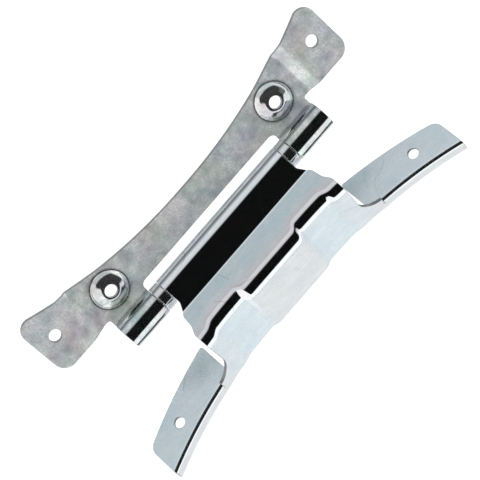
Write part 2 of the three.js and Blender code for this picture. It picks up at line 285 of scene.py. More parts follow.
def place_points(surface, places, flat_normals):
    """Places and outward normals of points given in the flat pattern as (u, z, w)."""
    u, z, w = places.T
    step = 0.01
    runs = []
    for du, dz, dw in np.eye(3) * step:
        ahead = offset_point(surface, u + du, z + dz, w + dw)
        behind = offset_point(surface, u - du, z - dz, w - dw)
        runs.append(ahead - behind)
    pu, pz, pw = runs
    nu, nz, nw = (flat_normals[:, i : i + 1] for i in range(3))
    normals = nu * np.cross(pz, pw) + nz * np.cross(pw, pu) + nw * np.cross(pu, pz)
    normals *= np.sign(np.einsum("ij,ij->i", np.cross(pu, pz), pw))[:, None]
    normals /= np.linalg.norm(normals, axis=1, keepdims=True)
    return offset_point(surface, u, z, w), normals


def inside(points, loops):
    """Which points lie inside the outlines, by the even-odd rule."""
    hits = np.zeros(len(points), bool)
    for loop in loops:
        for (x1, y1), (x2, y2) in zip(loop, np.roll(loop, -1, axis=0)):
            if y1 == y2:
                continue
            spans = (points[:, 1] < y1) != (points[:, 1] < y2)
            cross = x1 + (points[:, 1] - y1) * (x2 - x1) / (y2 - y1)
            hits ^= spans & (points[:, 0] < cross)
    return hits


def signed_area(loop):
    x, y = np.array(loop).T
    return (x @ np.roll(y, -1) - y @ np.roll(x, -1)) / 2


def edge_profile(sheet, radius, steps=4):
    """Across a sheet's eased edge: rows of (share of the radius set in, w, outward, out of sheet)."""
    rows = []
    for side in (1, -1):
        for step in range(steps + 1):
            turn = math.radians(90 * step / steps)
            w = side * (sheet / 2 - radius * (1 - math.cos(turn)))
            rows.append((1 - math.sin(turn), w, math.sin(turn), side * math.cos(turn)))
    front, rear = rows[: steps + 1], rows[steps + 1 :]
    return front + rear[::-1]


def distance_to(points, loops):
    """How far each point is from the nearest run of the outlines."""
    nearest = np.full(len(points), np.inf)
    for loop in loops:
        for start, end in zip(loop, np.roll(loop, -1, axis=0)):
            run = end - start
            share = np.clip((points - start) @ run / (run @ run), 0, 1)
            gap = np.linalg.norm(points - start - share[:, None] * run, axis=1)
            nearest = np.minimum(nearest, gap)
    return nearest


def inner_triangles(triangles, rim):
    """The triangles on the left of the rim's directed runs, and all reached without crossing it."""
    beside = {}
    for number, (a, b, c) in enumerate(triangles):
        beside.update({(a, b): number, (b, c): number, (c, a): number})
    reached = {beside[run] for run in rim}
    waiting = list(reached)
    while waiting:
        a, b, c = triangles[waiting.pop()]
        for run in ((a, b), (b, c), (c, a)):
            number = beside.get(run[::-1])
            if run not in rim and number is not None and number not in reached:
                reached.add(number)
                waiting.append(number)
    return [triangles[number] for number in sorted(reached)]


class Chart:
    """One stretch of flat pattern: its outline, holes, inner points, bending and finish."""

    def __init__(self, surface, finish, outline, holes, grid, clear, joined=(), pinched=()):
        self.surface = surface
        self.finish = finish
        self.joined = joined
        self.pinched = pinched
        self.loops = []
        for number, loop in enumerate([outline, *holes]):
            wanted = 1 if number == 0 else -1
            points = np.array(loop)
            flip = signed_area(points) * wanted < 0
            self.loops.append(points[::-1] if flip else points)
        grid = grid[inside(grid, self.loops)]
        self.grid = grid[distance_to(grid, self.loops) > clear]

    def is_joined(self, a, b):
        return any(test(a) and test(b) for test in self.joined)


def sheet_geometry(chart, sheet, radius):
    """Points, normals, edge share, finish and faces of one chart's solid sheet."""
    profile = edge_profile(sheet, radius)
    ins = []
    for loop in chart.loops:
        ahead = np.roll(loop, -1, axis=0) - loop
        ahead /= np.linalg.norm(ahead, axis=1, keepdims=True)
        inward = np.stack([-ahead[:, 1], ahead[:, 0]], axis=1)
        free = np.array([not chart.is_joined(a, b) for a, b in zip(loop, np.roll(loop, -1, axis=0))])
        before, free_before = np.roll(inward, 1, axis=0), np.roll(free, 1)
        both = (before + inward) / (1 + np.einsum("ij,ij->i", before, inward))[:, None]
        shift = np.where((free & free_before)[:, None], both, np.where(free[:, None], inward, before))
        shift[~free & ~free_before] = 0
        eased = np.array([0 if any(test(p) for test in chart.pinched) else radius for p in loop])
        ins.append((loop, shift, free, free | free_before, eased))
    rims = [loop + shift * eased[:, None] for loop, shift, _, _, eased in ins]
    flat, edges, start = [], [], 0
    for rim in rims:
        flat += list(rim)
        edges += [(start + i, start + (i + 1) % len(rim)) for i in range(len(rim))]
        start += len(rim)
    flat += list(chart.grid)
    found = delaunay_2d_cdt([Vector(p) for p in flat], edges, [], 0, 1e-5)
    spots = np.array([tuple(p) for p in found[0]])
    new_index = {old: index for index, olds in enumerate(found[3]) for old in olds}
    rim_runs = {(new_index[a], new_index[b]) for a, b in edges}
    triangles = inner_triangles([tuple(f) for f in found[2]], rim_runs)
    count = len(spots)
    places = [np.column_stack([spots, np.full(count, side * sheet / 2)]) for side in (1, -1)]
    normals = [np.tile([0, 0, side], (count, 1)) for side in (1, -1)]
    # How far out on an eased edge each point lies; the material darkens these edges, partly as bare cut
    # steel, partly as painted shade.
    cut_edge_shade = [np.zeros(2 * count)]
    faces = triangles + [(c + count, b + count, a + count) for a, b, c in triangles]
    total = 2 * count
    start = 0
    for loop, shift, free, touched, eased in ins:
        rows = []
        for row, (share, w, outward, lift) in enumerate(profile):
            if row in (0, len(profile) - 1):
                side = 0 if row == 0 else count
                rows.append([new_index[start + i] + side for i in range(len(loop))])
                continue
            level = np.where(eased > 0, w, math.copysign(sheet / 2, w))
            spot = loop + shift * (eased * share)[:, None]
            places.append(np.column_stack([spot, level]))
            length = np.maximum(np.linalg.norm(shift, axis=1, keepdims=True), 1e-9)
            normals.append(np.column_stack([-shift / length * outward, np.full(len(loop), lift)]))
            cut_edge_shade.append(np.full(len(loop), outward))
            rows.append(list(range(total, total + len(loop))))
            total += len(loop)
        for low, high in zip(rows, rows[1:]):
            for i in np.flatnonzero(free):
                j = (i + 1) % len(loop)
                faces.append((low[i], high[i], high[j], low[j]))
        start += len(loop)
    places = np.concatenate(places)
    where, facing = place_points(chart.surface, places, np.concatenate(normals).astype(float))
    return where, facing, np.concatenate(cut_edge_shade), chart.finish(*places.T[:2]), faces


def build_mesh(name, where, facing, cut_edge_shade, finish, faces):
    """One smooth mesh object with the given normals, edge shares for the sheared edges' darker steel
    and painted shade, and finish.
    """
    bm = bmesh.new()
    lean = bm.verts.layers.float_vector.new("lean")
    edge_shade_amount = bm.verts.layers.float.new("cut_edge_shade")
    coat = bm.verts.layers.float_vector.new("finish")
    satin = bm.verts.layers.float.new("dull")
    verts = []
    for place, normal, share, own in zip(where, facing, cut_edge_shade, finish):
        vert = bm.verts.new(place * MM)
        vert[lean] = normal
        vert[edge_shade_amount] = share
        vert[coat] = own[:3]
        vert[satin] = own[3]
        verts.append(vert)
    for face in faces:
        corners = [verts[i] for i in dict.fromkeys(face)]
        if len(corners) > 2:
            bm.faces.new(corners).smooth = True
    bmesh.ops.remove_doubles(bm, verts=bm.verts, dist=2e-6)
    loose = [v for v in bm.verts if not v.link_faces]
    bmesh.ops.delete(bm, geom=loose, context="VERTS")
    bmesh.ops.recalc_face_normals(bm, faces=bm.faces)
    mesh = bpy.data.meshes.new(name)
    bm.to_mesh(mesh)
    bm.free()
    normals = [0.0] * (3 * len(mesh.vertices))
    mesh.attributes["lean"].data.foreach_get("vector", normals)
    normals = np.array(normals).reshape(-1, 3)
    mesh.normals_split_custom_set_from_vertices([tuple(n) for n in normals])
    mesh.attributes.remove(mesh.attributes["lean"])
    piece = bpy.data.objects.new(name, mesh)
    bpy.context.scene.collection.objects.link(piece)
    return piece


def sheet_piece(name, charts, sheet, radius):
    parts = [sheet_geometry(chart, sheet, radius) for chart in charts]
    faces, start = [], 0
    for where, _, _, _, own in parts:
        faces += [tuple(int(i) + start for i in face) for face in own]
        start += len(where)
    where, facing, cut_edge_shade, finish = (np.concatenate([part[i] for part in parts]) for i in range(4))
    return build_mesh(name, where, facing, cut_edge_shade, finish, faces)


def grid_of(us, zs):
    return np.array([(u, z) for u in us for z in zs])


def both_ways(values):
    return sorted({-v for v in values} | set(values))


# --- Cabinet leaf ------------------------------------------------------------------------

cabinet_roll = knuckle_radius - CABINET_SHEET / 2
cabinet_roll_end = cabinet_roll * math.radians(270 + CABINET_SEAM)


def cabinet_edge(z):
    return -CABINET_REACH - arc_rise(z, CABINET_EDGE_STRAIGHT, EDGE_ARC)


boss_reach = -cabinet_edge(boss_height) - BOSS_EDGE
tab_hole_reach = -cabinet_edge(tab_hole_height) - TAB_HOLE_EDGE

joggle_knots = middle_of(
    [(knuckle_outer + JOGGLE_GAP, 0), (knuckle_outer + JOGGLE_GAP + JOGGLE_RUN, TAB_RISE)],
    CABINET_SHEET,
)
boss_knots = middle_of(
    [
        (SCREW_HOLE + BOSS_RIM, TAB_RISE),
        (BOSS_RADIUS - BOSS_SHOULDER, TAB_RISE * BOSS_SHOULDER_SHARE),
        (BOSS_RADIUS, 0),
    ],
    CABINET_SHEET,
)


def lip_share(u, z):
    """How far the plate's outer edge is bent back beside the bosses."""
    height = np.abs(z)
    inset = u - cabinet_edge(z)
    beside = smoothstep(height, LIP_START, LIP_FULL) - smoothstep(height, LIP_END - 2, LIP_END)
    return beside * (1 - smoothstep(inset, 0, LIP_WIDTH))


def cabinet_surface(u, z):
    """The middle of the cabinet leaf: plate, joggled tabs, bosses, and knuckles for u over 0."""
    turn = math.pi / 2 - np.maximum(u, 0) / cabinet_roll
    x = np.where(u > 0, cabinet_roll * np.cos(turn), u)
    y = cabinet_roll * np.sin(turn)
    far = np.hypot(u + boss_reach, np.abs(z) - boss_height)
    rise = eased_line(np.abs(z), joggle_knots, JOGGLE_EASE) + eased_line(far, boss_knots, BOSS_EASE)
    y = y - np.where(u > 0, 0, rise) + LIP_BACK * lip_share(u, z)
    return np.stack([x + pin_place[0], y + pin_place[1], z + pin_place[2]], axis=1)


def finish_of(colour, dull):
    """A finish attribute: colour factors, and the share of the material's own dullness."""
    return np.column_stack(np.broadcast_arrays(*colour, dull))


def cabinet_finish(u, z):
    """Over the cabinet leaf: smooth where it is rolled, and smoother on the bosses."""
    turned = np.degrees(np.maximum(u, 0) / cabinet_roll)
    far = np.hypot(u + boss_reach, np.abs(z) - boss_height)
    boss = 1 - smoothstep(far, BOSS_RADIUS, BOSS_RADIUS + 1.5)
    dull = (1 - smoothstep(turned, *ROLL_POLISH)) * (1 - BOSS_POLISH * boss)
    return finish_of([1, 1, 1], dull)


def cabinet_outline():
    edge = np.linspace(CABINET_EDGE_STRAIGHT, cabinet_half - 1.05 * TAB_CORNER, 30)
    upper = [(cabinet_edge(z), z) for z in edge]
    upper += [
        (cabinet_edge(cabinet_half), cabinet_half, TAB_CORNER),
        (-window_reach, cabinet_half, TAB_INNER_CORNER),
        (-window_reach, knuckle_outer, 1),
        (cabinet_roll_end, knuckle_outer, 0.3),
        (cabinet_roll_end, knuckle_inner, 0.3),
        (-window_reach, knuckle_inner, 2.5),
    ]
    lower = [(x, -z, *radius) for x, z, *radius in upper][::-1]
    return subdivided(rounded(upper + lower, steps=8))


def cabinet_grid():
    plate = np.arange(-40, 0, PLATE_STEP)
    turns = np.arange(0, 270 + CABINET_SEAM, ROLL_STEP)
    roll = cabinet_roll * np.radians(turns)
    heights = list(np.arange(0, 90, HEIGHT_STEP))
    joggle = list(np.arange(joggle_knots[0][0] - 1.2, joggle_knots[1][0] + 1.2, FINE_STEP))
    ring_radii = np.arange(SCREW_HOLE + 0.4, BOSS_RADIUS + 1.2, FINE_STEP)
    points = list(grid_of(plate, both_ways([h for h in heights if not joggle[0] < h < joggle[-1]])))
    points += list(grid_of(plate, both_ways(joggle)))
    points += list(grid_of(roll, both_ways(heights)))
    points = [
        p
        for p in points
        if math.hypot(p[0] + boss_reach, abs(p[1]) - boss_height) > ring_radii[-1] + 0.5
    ]
    for side in (1, -1):
        for radius in ring_radii:
            points += circle(-boss_reach, side * boss_height, radius, 64)
    return np.array(points)


def cabinet_leaf():
    holes = [
        circle(-reach, side * height, SCREW_HOLE)
        for reach, height in ((boss_reach, boss_height), (tab_hole_reach, tab_hole_height))
        for side in (1, -1)
    ]
    chart = Chart(cabinet_surface, cabinet_finish, cabinet_outline(), holes, cabinet_grid(), 0.5)
    return sheet_piece("cabinet_leaf_sheet", [chart], CABINET_SHEET, CABINET_EASE)


# --- Door leaf: x runs from the pin to the wall and y backwards, before it is turned open ---

door_roll = barrel_radius - DOOR_SHEET / 2
strip_turn = math.radians(STRIP_SLOPE)
roll_exit = strip_turn - math.pi / 2
roll_start = roll_exit + math.radians(DOOR_SEAM)
ramp_y = DOOR_SHEET / 2 - RAMP_DROP
strip_x = door_roll * math.cos(roll_exit)
strip_y = door_roll * math.sin(roll_exit)
crease_x = strip_x + (ramp_y - strip_y) / math.tan(strip_turn)
crease_tangent = CREASE_RADIUS * math.tan(strip_turn / 2)
strip_length = math.hypot(crease_x - strip_x, ramp_y - strip_y) - crease_tangent
ramp_x = crease_x + crease_tangent
wall_middle = WALL_REACH - DOOR_SHEET / 2

# Where each stretch of the section ends, measured along it at mid-height
roll_end = door_roll * math.radians(360 - DOOR_SEAM)
strip_end = roll_end + strip_length
crease_end = strip_end + CREASE_RADIUS * strip_turn
ramp_end = crease_end + wall_middle - RIDGE_RADIUS - ramp_x
ridge_end = ramp_end + RIDGE_RADIUS * math.pi / 2
foot_end = ridge_end + wall_depth - ramp_y - RIDGE_RADIUS


def flute_share(z):
    """How much of the flutes' depth the wall is pressed in at z."""
    height = np.abs(z)
    fall_end = middle_half - FLUTE_END_INSET
    share = smoothstep(height, FLUTE_START, FLUTE_START + FLUTE_RISE)
    share = share - (1 - FLUTE_END_SHARE) * smoothstep(height, fall_end - FLUTE_FALL, fall_end)
    return share - FLUTE_END_SHARE * smoothstep(height, middle_half, web_end)


def wall_line(z):
    """The wall's middle in section, as x = start + lean * y."""
    share = flute_share(z)
    start = wall_middle + arc_rise(z, WALL_STRAIGHT, WALL_ARC) - share * FLUTE_TOP
    return start, share * (FLUTE_TOP - FLUTE_FOOT) / wall_depth


def ridge_places(z):
    """The ridge fillet in section: where it starts, its turn, and where it ends on the wall."""
    start, lean = wall_line(z)
    turn = math.pi / 2 - np.arctan(lean)
    tangent = RIDGE_RADIUS * np.tan(turn / 2)
    from_x = start + lean * ramp_y - tangent
    to_y = ramp_y + tangent / np.hypot(lean, 1)
    return from_x, turn, to_y


def in_row(x, y, z):
    """Turns the door leaf's own x and y open, about the pin."""
    c, s = math.cos(rest_turn), math.sin(rest_turn)
    return np.stack(
        [pin_place[0] + x * c - y * s, pin_place[1] + x * s + y * c, pin_place[2] + z], axis=1
    )


def door_surface(u, z):
    """The middle of the door leaf, from the barrel's seam to the wall's foot."""
    start, lean = wall_line(z)
    from_x, turn, to_y = ridge_places(z)
    roll = roll_start + u / door_roll
    strip = u - roll_end
    crease = math.pi / 2 + strip_turn - (u - strip_end) / CREASE_RADIUS
    ramp = (u - crease_end) / (ramp_end - crease_end)
    ridge = turn * (u - ramp_end) / (ridge_end - ramp_end) - math.pi / 2
    wall = to_y + (wall_depth - to_y) * (u - ridge_end) / (foot_end - ridge_end)
    spans = [u < roll_end, u < strip_end, u < crease_end, u < ramp_end, u < ridge_end]
    x = np.select(
        spans,
        [
            door_roll * np.cos(roll),
            strip_x + strip * math.cos(strip_turn),
            ramp_x + CREASE_RADIUS * np.cos(crease),
            ramp_x + (from_x - ramp_x) * ramp,
            from_x + RIDGE_RADIUS * np.cos(ridge),
        ],
        start + lean * wall,
    )
    y = np.select(
        spans,
        [
            door_roll * np.sin(roll),
            strip_y + strip * math.sin(strip_turn),
            ramp_y + CREASE_RADIUS * (np.sin(crease) - 1),
            np.full_like(u, ramp_y),
            ramp_y + RIDGE_RADIUS * (1 + np.sin(ridge)),
        ],
        wall,
    )
    return in_row(x, y, z)


def door_finish(u, z):
    """Over the door leaf: smooth barrel and strip, a faintly teal ramp, a smooth ridge, a dull wall."""
    ramp = ramp_end - crease_end
    teal = smoothstep(u, crease_end - 1, crease_end + 0.4)
    teal = teal - smoothstep(u, crease_end + 0.5 * ramp, crease_end + 0.95 * ramp)
    dull = RAMP_DULL * (smoothstep(u, strip_end, crease_end) - smoothstep(u, ramp_end - 2, ramp_end))
    rose = smoothstep(u, crease_end + 0.6 * ramp, ramp_end) - smoothstep(u, ramp_end, ridge_end)
    wall = smoothstep(u, ridge_end - 1.2, ridge_end + 0.6)
    pressed = wall * flute_share(z)
    plain = wall - pressed
    colour = [
        1 - teal * (1 - t) - rose * (1 - r) - pressed * (1 - b) - plain * (1 - w)
        for t, r, b, w in zip(RAMP_TEAL, RIDGE_ROSE, FLUTE_BLUE, WALL_WARM)
    ]
    return finish_of(colour, dull + wall)


def wing_finish(v, z):
    """Over a wing: dull and bluish, but for its smooth bend."""
    middle = (bend_start + bend_end) / 2
    smooth = smoothstep(v, bend_start, middle) - smoothstep(v, middle, bend_end)
    blue = smoothstep(v, middle, bend_end)
    colour = [1 - blue * (1 - b) - (1 - blue) * (1 - w) for b, w in zip(FLANGE_BLUE, WALL_WARM)]
    return finish_of(colour, 1 - (1 - BEND_DULL) * smooth)


def on_wall(y, z):
    """The flat pattern's u of depth y on the wall."""
    to_y = ridge_places(np.array([z], float))[2][0]
    return ridge_end + (y - to_y) / (wall_depth - to_y) * (foot_end - ridge_end)


def on_strip(x):
    if x < crease_x - crease_tangent * math.cos(strip_turn):
        return roll_end + (x - strip_x) / math.cos(strip_turn)
    return crease_end + x - ramp_x


def seam_heights():
    return np.linspace(web_end, wing_half, 36)


def door_outline():
    upper = [(0, barrel_half)]
    upper += [(on_strip(x), barrel_half + rise, 2.5) for x, rise in FLARE[:-1]]
    upper += [(on_strip(FLARE[-1][0]), middle_half, 2.5)]
    upper = [tuple(p) for p in rounded(upper + [(foot_end, middle_half)])][:-1]
    upper += [(ridge_end, middle_half)]
    for turn in np.radians(np.arange(0, 90, 7.5)):
        z = web_end - WEB_RADIUS * math.cos(turn)
        upper.append((on_wall(web_root + WEB_RADIUS * math.sin(turn), z), z))
    upper += [(on_wall(web_root + WEB_RADIUS, web_end), web_end)]
    upper += [(on_wall(seam_y, z), z) for z in seam_heights()]
    upper += [(foot_end, wing_half)]
    lower = [(u, -z) for u, z in upper][::-1]
    return upper, lower


def middle_chart():
    upper, lower = door_outline()

    def on_seam(p):
        return abs(p[1]) > web_end - 1e-6 and abs(p[0] - on_wall(seam_y, p[1])) < 1e-6

    def at_web(p):
        return on_seam(p) and abs(abs(p[1]) - web_end) < 1e-6

    outline = subdivided(upper + lower, [on_seam])
    us = list(np.arange(0, roll_end, door_roll * math.radians(ROLL_STEP)))
    us += list(np.linspace(roll_end, strip_end, 5))
    us += list(np.linspace(strip_end, crease_end, 6)[1:])
    us += list(np.linspace(crease_end, ramp_end, 10)[1:])
    us += list(np.linspace(ramp_end, ridge_end, 13)[1:])
    us += list(np.linspace(ridge_end, foot_end, 24)[1:-1])
    zs = both_ways(list(np.arange(0, 52, 1.0)) + list(np.arange(52, 91, 1.5)))
    joined = [lambda p: on_seam(p) and p[1] > 0, lambda p: on_seam(p) and p[1] < 0]
    return Chart(door_surface, door_finish, outline, [], grid_of(us, zs), 0.45, joined, [at_web])


def wing_edge(z):
    return WING_EDGE + arc_rise(z, 0, EDGE_ARC)


def bend_places(z):
    """The flange's bend in section: its centre's x, the wall's lean, and the straight below it."""
    start, lean = wall_line(z)
    angle = np.arctan(lean)
    tangent = FLANGE_BEND * np.tan((math.pi / 2 - angle) / 2)
    centre_x = start + lean * flange_y - tangent
    touch_y = flange_y + tangent * np.cos(angle)
    return start, lean, angle, centre_x, touch_y


bend_start = seam_y - flange_y - FLANGE_BEND
bend_end = bend_start + FLANGE_BEND * math.pi / 2


def wing_surface(v, z):
    """The middle of a wing, from the seam on the wall round the bend to the flange's edge."""
    start, lean, angle, centre_x, touch_y = bend_places(z)
    wall = seam_y + (touch_y - seam_y) * v / bend_start
    bend = -angle - (math.pi / 2 - angle) * (v - bend_start) / (bend_end - bend_start)
    spans = [v < bend_start, v < bend_end]
    bend_x = centre_x + FLANGE_BEND * np.cos(bend)
    bend_y = flange_y + FLANGE_BEND * (1 + np.sin(bend))
    x = np.select(spans, [start + lean * wall, bend_x], centre_x - (v - bend_end))
    y = np.select(spans, [wall, bend_y], np.full_like(v, flange_y))
    return in_row(x, y, z)


def on_flange(x, z):
    """The flat pattern's v of distance x from the pin on the flange."""
    return bend_end + bend_places(np.array([z], float))[3][0] - x


def wing_chart(side):
    edge = np.linspace(wing_inner, wing_half - 8, 24)
    corners = [(wing_edge(z), z) for z in edge] + [(wing_edge(wing_half), wing_half, WING_CORNER)]
    corners[0] = (wing_edge(wing_inner), wing_inner, 1)
    centre_x = bend_places(np.array([wing_half]))[3][0]
    far = rounded(corners + [(centre_x, wing_half), (40, wing_inner)])[:-2]
    flange = [(on_flange(x, z), z) for x, z in far]
    outline = [(0, z) for z in seam_heights()][::-1]
    outline += [(bend_end, web_end), (bend_end, wing_inner)]
    outline += flange + [(bend_end, wing_half)]
    hole_z = wing_half - WING_HOLE_INSET
    start, lean = wall_line(np.array([hole_z]))
    hole_x = (wing_edge(hole_z) + start[0] + lean[0] * FLANGE_DEPTH) / 2
    hole = [np.array([on_flange(x, z), z]) for x, z in circle(hole_x, hole_z, WING_HOLE)]
    vs = list(np.linspace(bend_start, bend_end, 9))
    vs += list(np.arange(bend_end + 1.2, 34, FLANGE_STEP))
    grid = grid_of(vs, np.arange(wing_inner, wing_half, FLANGE_STEP))

    def on_seam(p):
        return abs(p[0]) < 1e-9

    def at_web(p):
        return on_seam(p) and abs(abs(p[1]) - web_end) < 1e-6

    outline = subdivided(outline, [on_seam])
    turned = [[(u, z * side) for u, z in loop] for loop in (outline, hole)]
    grid = grid * (1, side)
    return Chart(wing_surface, wing_finish, turned[0], turned[1:], grid, 0.3, [on_seam], [at_web])


def door_leaf():
    charts = [middle_chart(), wing_chart(1), wing_chart(-1)]
    return sheet_piece("door_leaf_sheet", charts, DOOR_SHEET, DOOR_EASE)


# --- Turned pieces -----------------------------------------------------------------------


def turned(name, profile, segments=96):
    """A piece turned about the pin, from a closed line of (radius, z) points in millimetres."""
    bm = bmesh.new()
    line = [bm.verts.new((radius * MM, 0, z * MM)) for radius, z in profile]
    edges = [bm.edges.new(pair) for pair in zip(line, line[1:] + line[:1])]
    bmesh.ops.spin(
        bm,
        geom=line + edges,
        cent=(0, 0, 0),
        axis=(0, 0, 1),
        angle=2 * math.pi,
        steps=segments,
        use_duplicate=False,
    )
    bmesh.ops.remove_doubles(bm, verts=bm.verts, dist=1e-7)
    axis = [edge for edge in bm.edges if not edge.link_faces]
    bmesh.ops.delete(bm, geom=axis, context="EDGES")
    bmesh.ops.recalc_face_normals(bm, faces=bm.faces)
    for face in bm.faces:
        face.smooth = True
    bmesh.ops.translate(bm, verts=bm.verts, vec=Vector(pin_place * MM))
    mesh = bpy.data.meshes.new(name)
    bm.to_mesh(mesh)
    bm.free()
    piece = bpy.data.objects.new(name, mesh)
    bpy.context.scene.collection.objects.link(piece)
    weighted = piece.modifiers.new("weighted", "WEIGHTED_NORMAL")
    weighted.keep_sharp = True
    return piece


def eased_corner(corner, before, after, radius, steps=4):
    return rounded([before, (*corner, radius), after], steps)[1:-1]


def hinge_pin():
    half = knuckle_outer - PIN_RECESS
    profile = [(0, -half)]
    profile += eased_corner((PIN_RADIUS, -half), (0, -half), (PIN_RADIUS, 0), 0.8)
    profile += [(PIN_RADIUS, z) for z in np.linspace(-half + 1.5, half - 1.5, 12)]
    profile += eased_corner((PIN_RADIUS, half), (PIN_RADIUS, 0), (0, half), 0.8)
    profile += [(0, half)]
    return turned("hinge_pin_turned", profile)


def bush(name, side):
    seat = barrel_half + END_PLAY
    top = seat + COLLAR
    rim = barrel_radius - COLLAR_STEP
    corners = [
        (bush_bore, seat - SLEEVE_LENGTH, 0.15),
        (sleeve_radius, seat - SLEEVE_LENGTH, 0.2),
        (sleeve_radius, seat),
        (rim, seat, 0.25),
        (rim, top, 0.25),
        (bush_bore, top, 0.15),
    ]
    return turned(name, [(r, z * side) for r, z in rounded(corners, 4)])


# --- Materials ---------------------------------------------------------------------------

# Near-black colour of the eased sheet edges: partly the darker bare steel of a cut edge, partly painted
# shade.
CUT_EDGE_AND_SHADE = (0.07, 0.072, 0.075, 1)
SCRATCHED = (0.2, 0.2, 0.21, 1)
SCRATCH_SHARE = 0.35
SCRATCH_WIDTH = 0.004
MOTTLE_SCALE = 130
SPECK_SCALE = 1100
STREAK_SCALE = 700
FILM_SCALE = 75
WANDER_SCALE = 34
SCRATCHED_SCALE = 90
GLOSS_SCALE = 260
DRAWN_SCALE = 5200
GRAIN_SCALE = 2600
RING_SCALE = 6000
STEEL_SCALE = 300
PAPER_SCALE = 400


def fill(tree, socket, value):
    """Links a socket to the value, or sets it."""
    if isinstance(value, bpy.types.NodeSocket):
        tree.links.new(value, socket)
    else:
        socket.default_value = value


def node_maker(tree):
    def node(kind, inputs=None, **settings):
        new = tree.nodes.new(kind)
        for key, value in settings.items():
            setattr(new, key, value)
        for key, value in (inputs or {}).items():
            fill(tree, new.inputs[key], value)
        return new

    return node


def material(name):
    """A new node material, with its tree, its Principled shader and its node maker."""
    made = bpy.data.materials.new(name)
    made.use_nodes = True
    tree = made.node_tree
    return made, tree, tree.nodes["Principled BSDF"], node_maker(tree)


def noise(node, place, scale, detail=3, roughness=0.5):
    made = node(
        "ShaderNodeTexNoise",
        {"Vector": place, "Scale": scale, "Detail": detail, "Roughness": roughness},
    )
    return made.outputs["Fac"]


def spread(node, value, low, high, to_low, to_high):
    made = node(
        "ShaderNodeMapRange",
        {"Value": value, "From Min": low, "From Max": high, "To Min": to_low, "To Max": to_high},
    )
    return made.outputs["Result"]


def mix_colours(tree, share, first, second, mode="MIX"):
    made = tree.nodes.new("ShaderNodeMix")
    made.data_type = "RGBA"
    made.blend_type = mode
    for socket, value in ((0, share), (6, first), (7, second)):
        fill(tree, made.inputs[socket], value)
    return made.outputs[2]


def zinc(name, light, dark, rough, smooth, iridescence, drawn, matte):
    """Zinc plate: mottled, faintly iridescent, finely scratched, with eased edges darkened almost to
    black, partly darker bare cut steel and partly painted shade.
    """
    made, tree, shader, node = material(name)
    place = node("ShaderNodeTexCoord").outputs["Object"]
    mottle = spread(node, noise(node, place, MOTTLE_SCALE, 5, 0.65), 0.32, 0.62, 0, 1)
    base = mix_colours(tree, mottle, (*dark, 1), (*light, 1))
    speck = spread(node, noise(node, place, SPECK_SCALE, 3, 0.7), 0.4, 0.62, 0, 0.6)
    base = mix_colours(tree, speck, base, (*dark, 1))
    along = node("ShaderNodeMapping", {"Vector": place, "Scale": (1, 1, 0.03)}).outputs[0]
    streak = spread(node, noise(node, along, STREAK_SCALE, 3, 0.6), 0.4, 0.65, 0, drawn)
    base = mix_colours(tree, streak, base, (*dark, 1))
    clouds = node("ShaderNodeTexNoise", {"Vector": place, "Scale": FILM_SCALE, "Detail": 3})
    cloud = clouds.outputs["Color"]
    film = node(
        "ShaderNodeVectorMath",
        {0: cloud, 1: (2.6, 2.6, 2.6), 2: (-0.8, -0.8, -0.8)},
        operation="MULTIPLY_ADD",
    )
    base = mix_colours(tree, iridescence, base, film.outputs[0], "OVERLAY")
    path = noise(node, place, WANDER_SCALE, 1, 0.4)
    wander = node("ShaderNodeMath", {0: path, 1: 0.5}, operation="SUBTRACT")
    gap = node("ShaderNodeMath", {0: wander.outputs[0]}, operation="ABSOLUTE").outputs[0]
    here = spread(node, noise(node, place, SCRATCHED_SCALE, 1, 0.4), 0.5, 0.6, 0, SCRATCH_SHARE)
    line = spread(node, gap, 0, SCRATCH_WIDTH, here, 0)
    base = mix_colours(tree, line, base, SCRATCHED)
    finish = node("ShaderNodeAttribute", attribute_name="finish").outputs["Color"]
    base = mix_colours(tree, 1.0, base, finish, "MULTIPLY")
    # The eased edges are mixed towards that near-black: partly bare cut steel, partly painted shade.
    edge_shade_amount = node("ShaderNodeAttribute", attribute_name="cut_edge_shade").outputs["Fac"]
    edge = node("ShaderNodeMath", {0: edge_shade_amount, 1: 0.8}, operation="MULTIPLY").outputs[0]
    base = mix_colours(tree, edge, base, CUT_EDGE_AND_SHADE)
    tree.links.new(base, shader.inputs["Base Color"])
    dull = spread(node, noise(node, place, GLOSS_SCALE, 4, 0.6), 0.3, 0.7, *rough)
    satin = node("ShaderNodeAttribute", attribute_name="dull").outputs["Fac"]
    dull = node("ShaderNodeMix", {0: satin, 2: smooth, 3: dull}).outputs[0]
    tree.links.new(dull, shader.inputs["Roughness"])
    scratch = noise(node, along, DRAWN_SCALE, 2, 0.5)
    fine = noise(node, place, GRAIN_SCALE, 3, 0.6)
    relief = node("ShaderNodeMath", {0: fine, 1: scratch}, operation="ADD").outputs[0]
    bump = node("ShaderNodeBump", {"Height": relief, "Strength": 0.12, "Distance": 0.00003})
    tree.links.new(bump.outputs[0], shader.inputs["Normal"])
    metal = node("ShaderNodeMapRange", {"Value": satin, "To Min": 1, "To Max": 1 - matte})
    tree.links.new(metal.outputs["Result"], shader.inputs["Metallic"])
    return made


